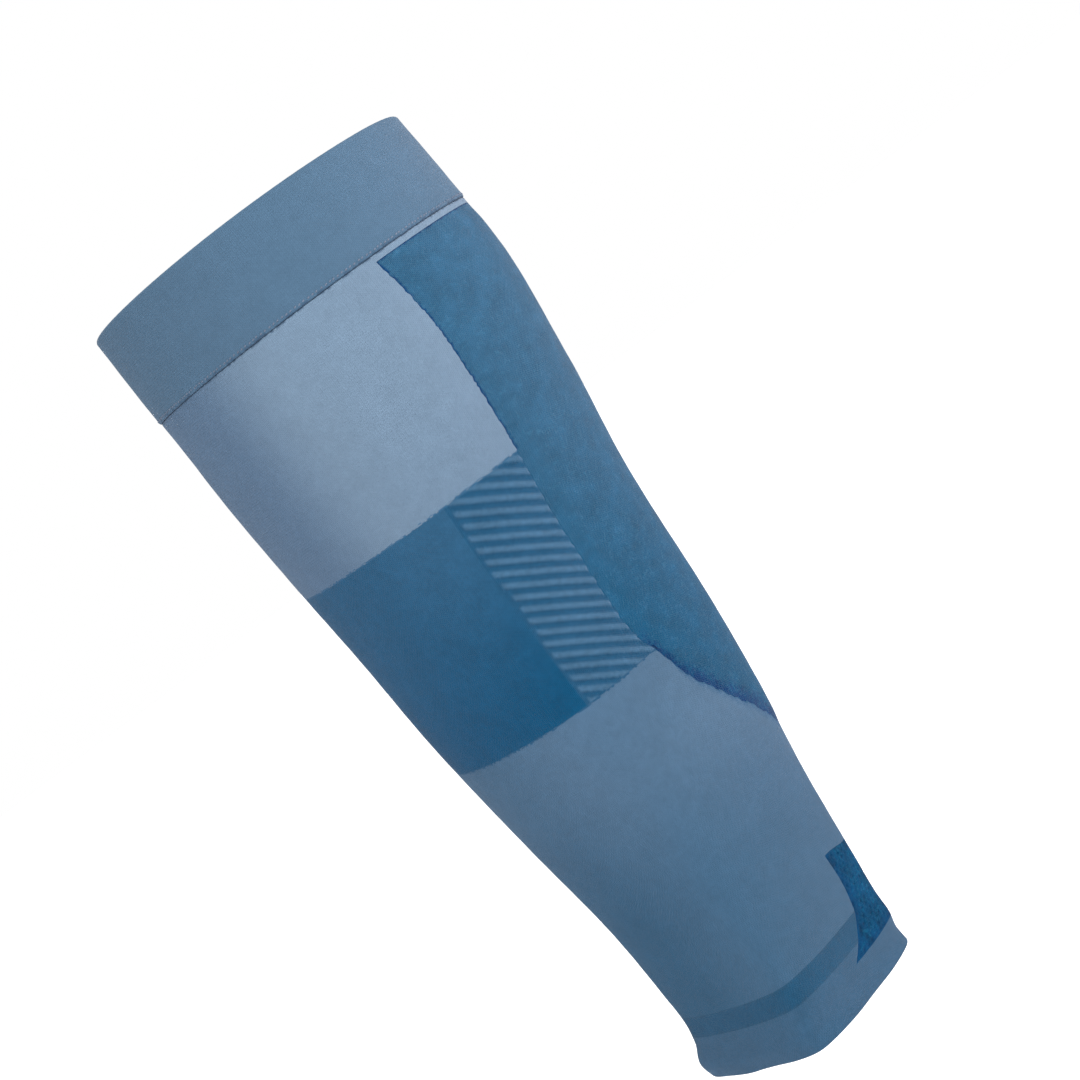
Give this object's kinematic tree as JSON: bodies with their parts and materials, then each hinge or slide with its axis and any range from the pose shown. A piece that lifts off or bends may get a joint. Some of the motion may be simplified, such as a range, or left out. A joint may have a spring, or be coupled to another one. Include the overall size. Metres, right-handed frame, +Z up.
{
  "type": "calf compression sleeve",
  "caption": "Knitted tube that grips the lower leg from above the ankle to below the knee, in zones of plain, heathered, ribbed and mesh knit.",
  "frame": {"origin": "on the leg's axis, level with the fullest girth of the calf, where the sleeve sits on the leg", "axes": "+Z up the leg to the knee end, -Y to the shin, +Y to the calf, +X to the side that the picture shows"},
  "size_m": [0.1132, 0.1224, 0.3146],
  "materials": {
    "cuff_knit": "plain close rib, matt",
    "shin_knit": "light plain knit, matt",
    "calf_knit": "thicker heathered knit, matt",
    "band_knit": "smooth dark knit, matt",
    "rib_knit": "raised diagonal ribs, matt",
    "lower_knit": "plain mid-tone knit, matt",
    "ring_knit": "smooth dark knit, matt",
    "patch_mesh": "open mottled mesh knit, matt",
    "hem_knit": "soft plain knit with a turned hem, matt"
  },
  "bodies": {
    "root": {"top_cuff": "cuff_knit", "shin_panel": "shin_knit", "calf_panel": "calf_knit", "shin_band": "band_knit", "rib_panel_left": "rib_knit", "rib_panel_right": "rib_knit", "lower_panel": "lower_knit", "ankle_ring": "ring_knit", "achilles_patch": "patch_mesh", "ankle_cuff": "hem_knit"}
  },
  "joints": []
}
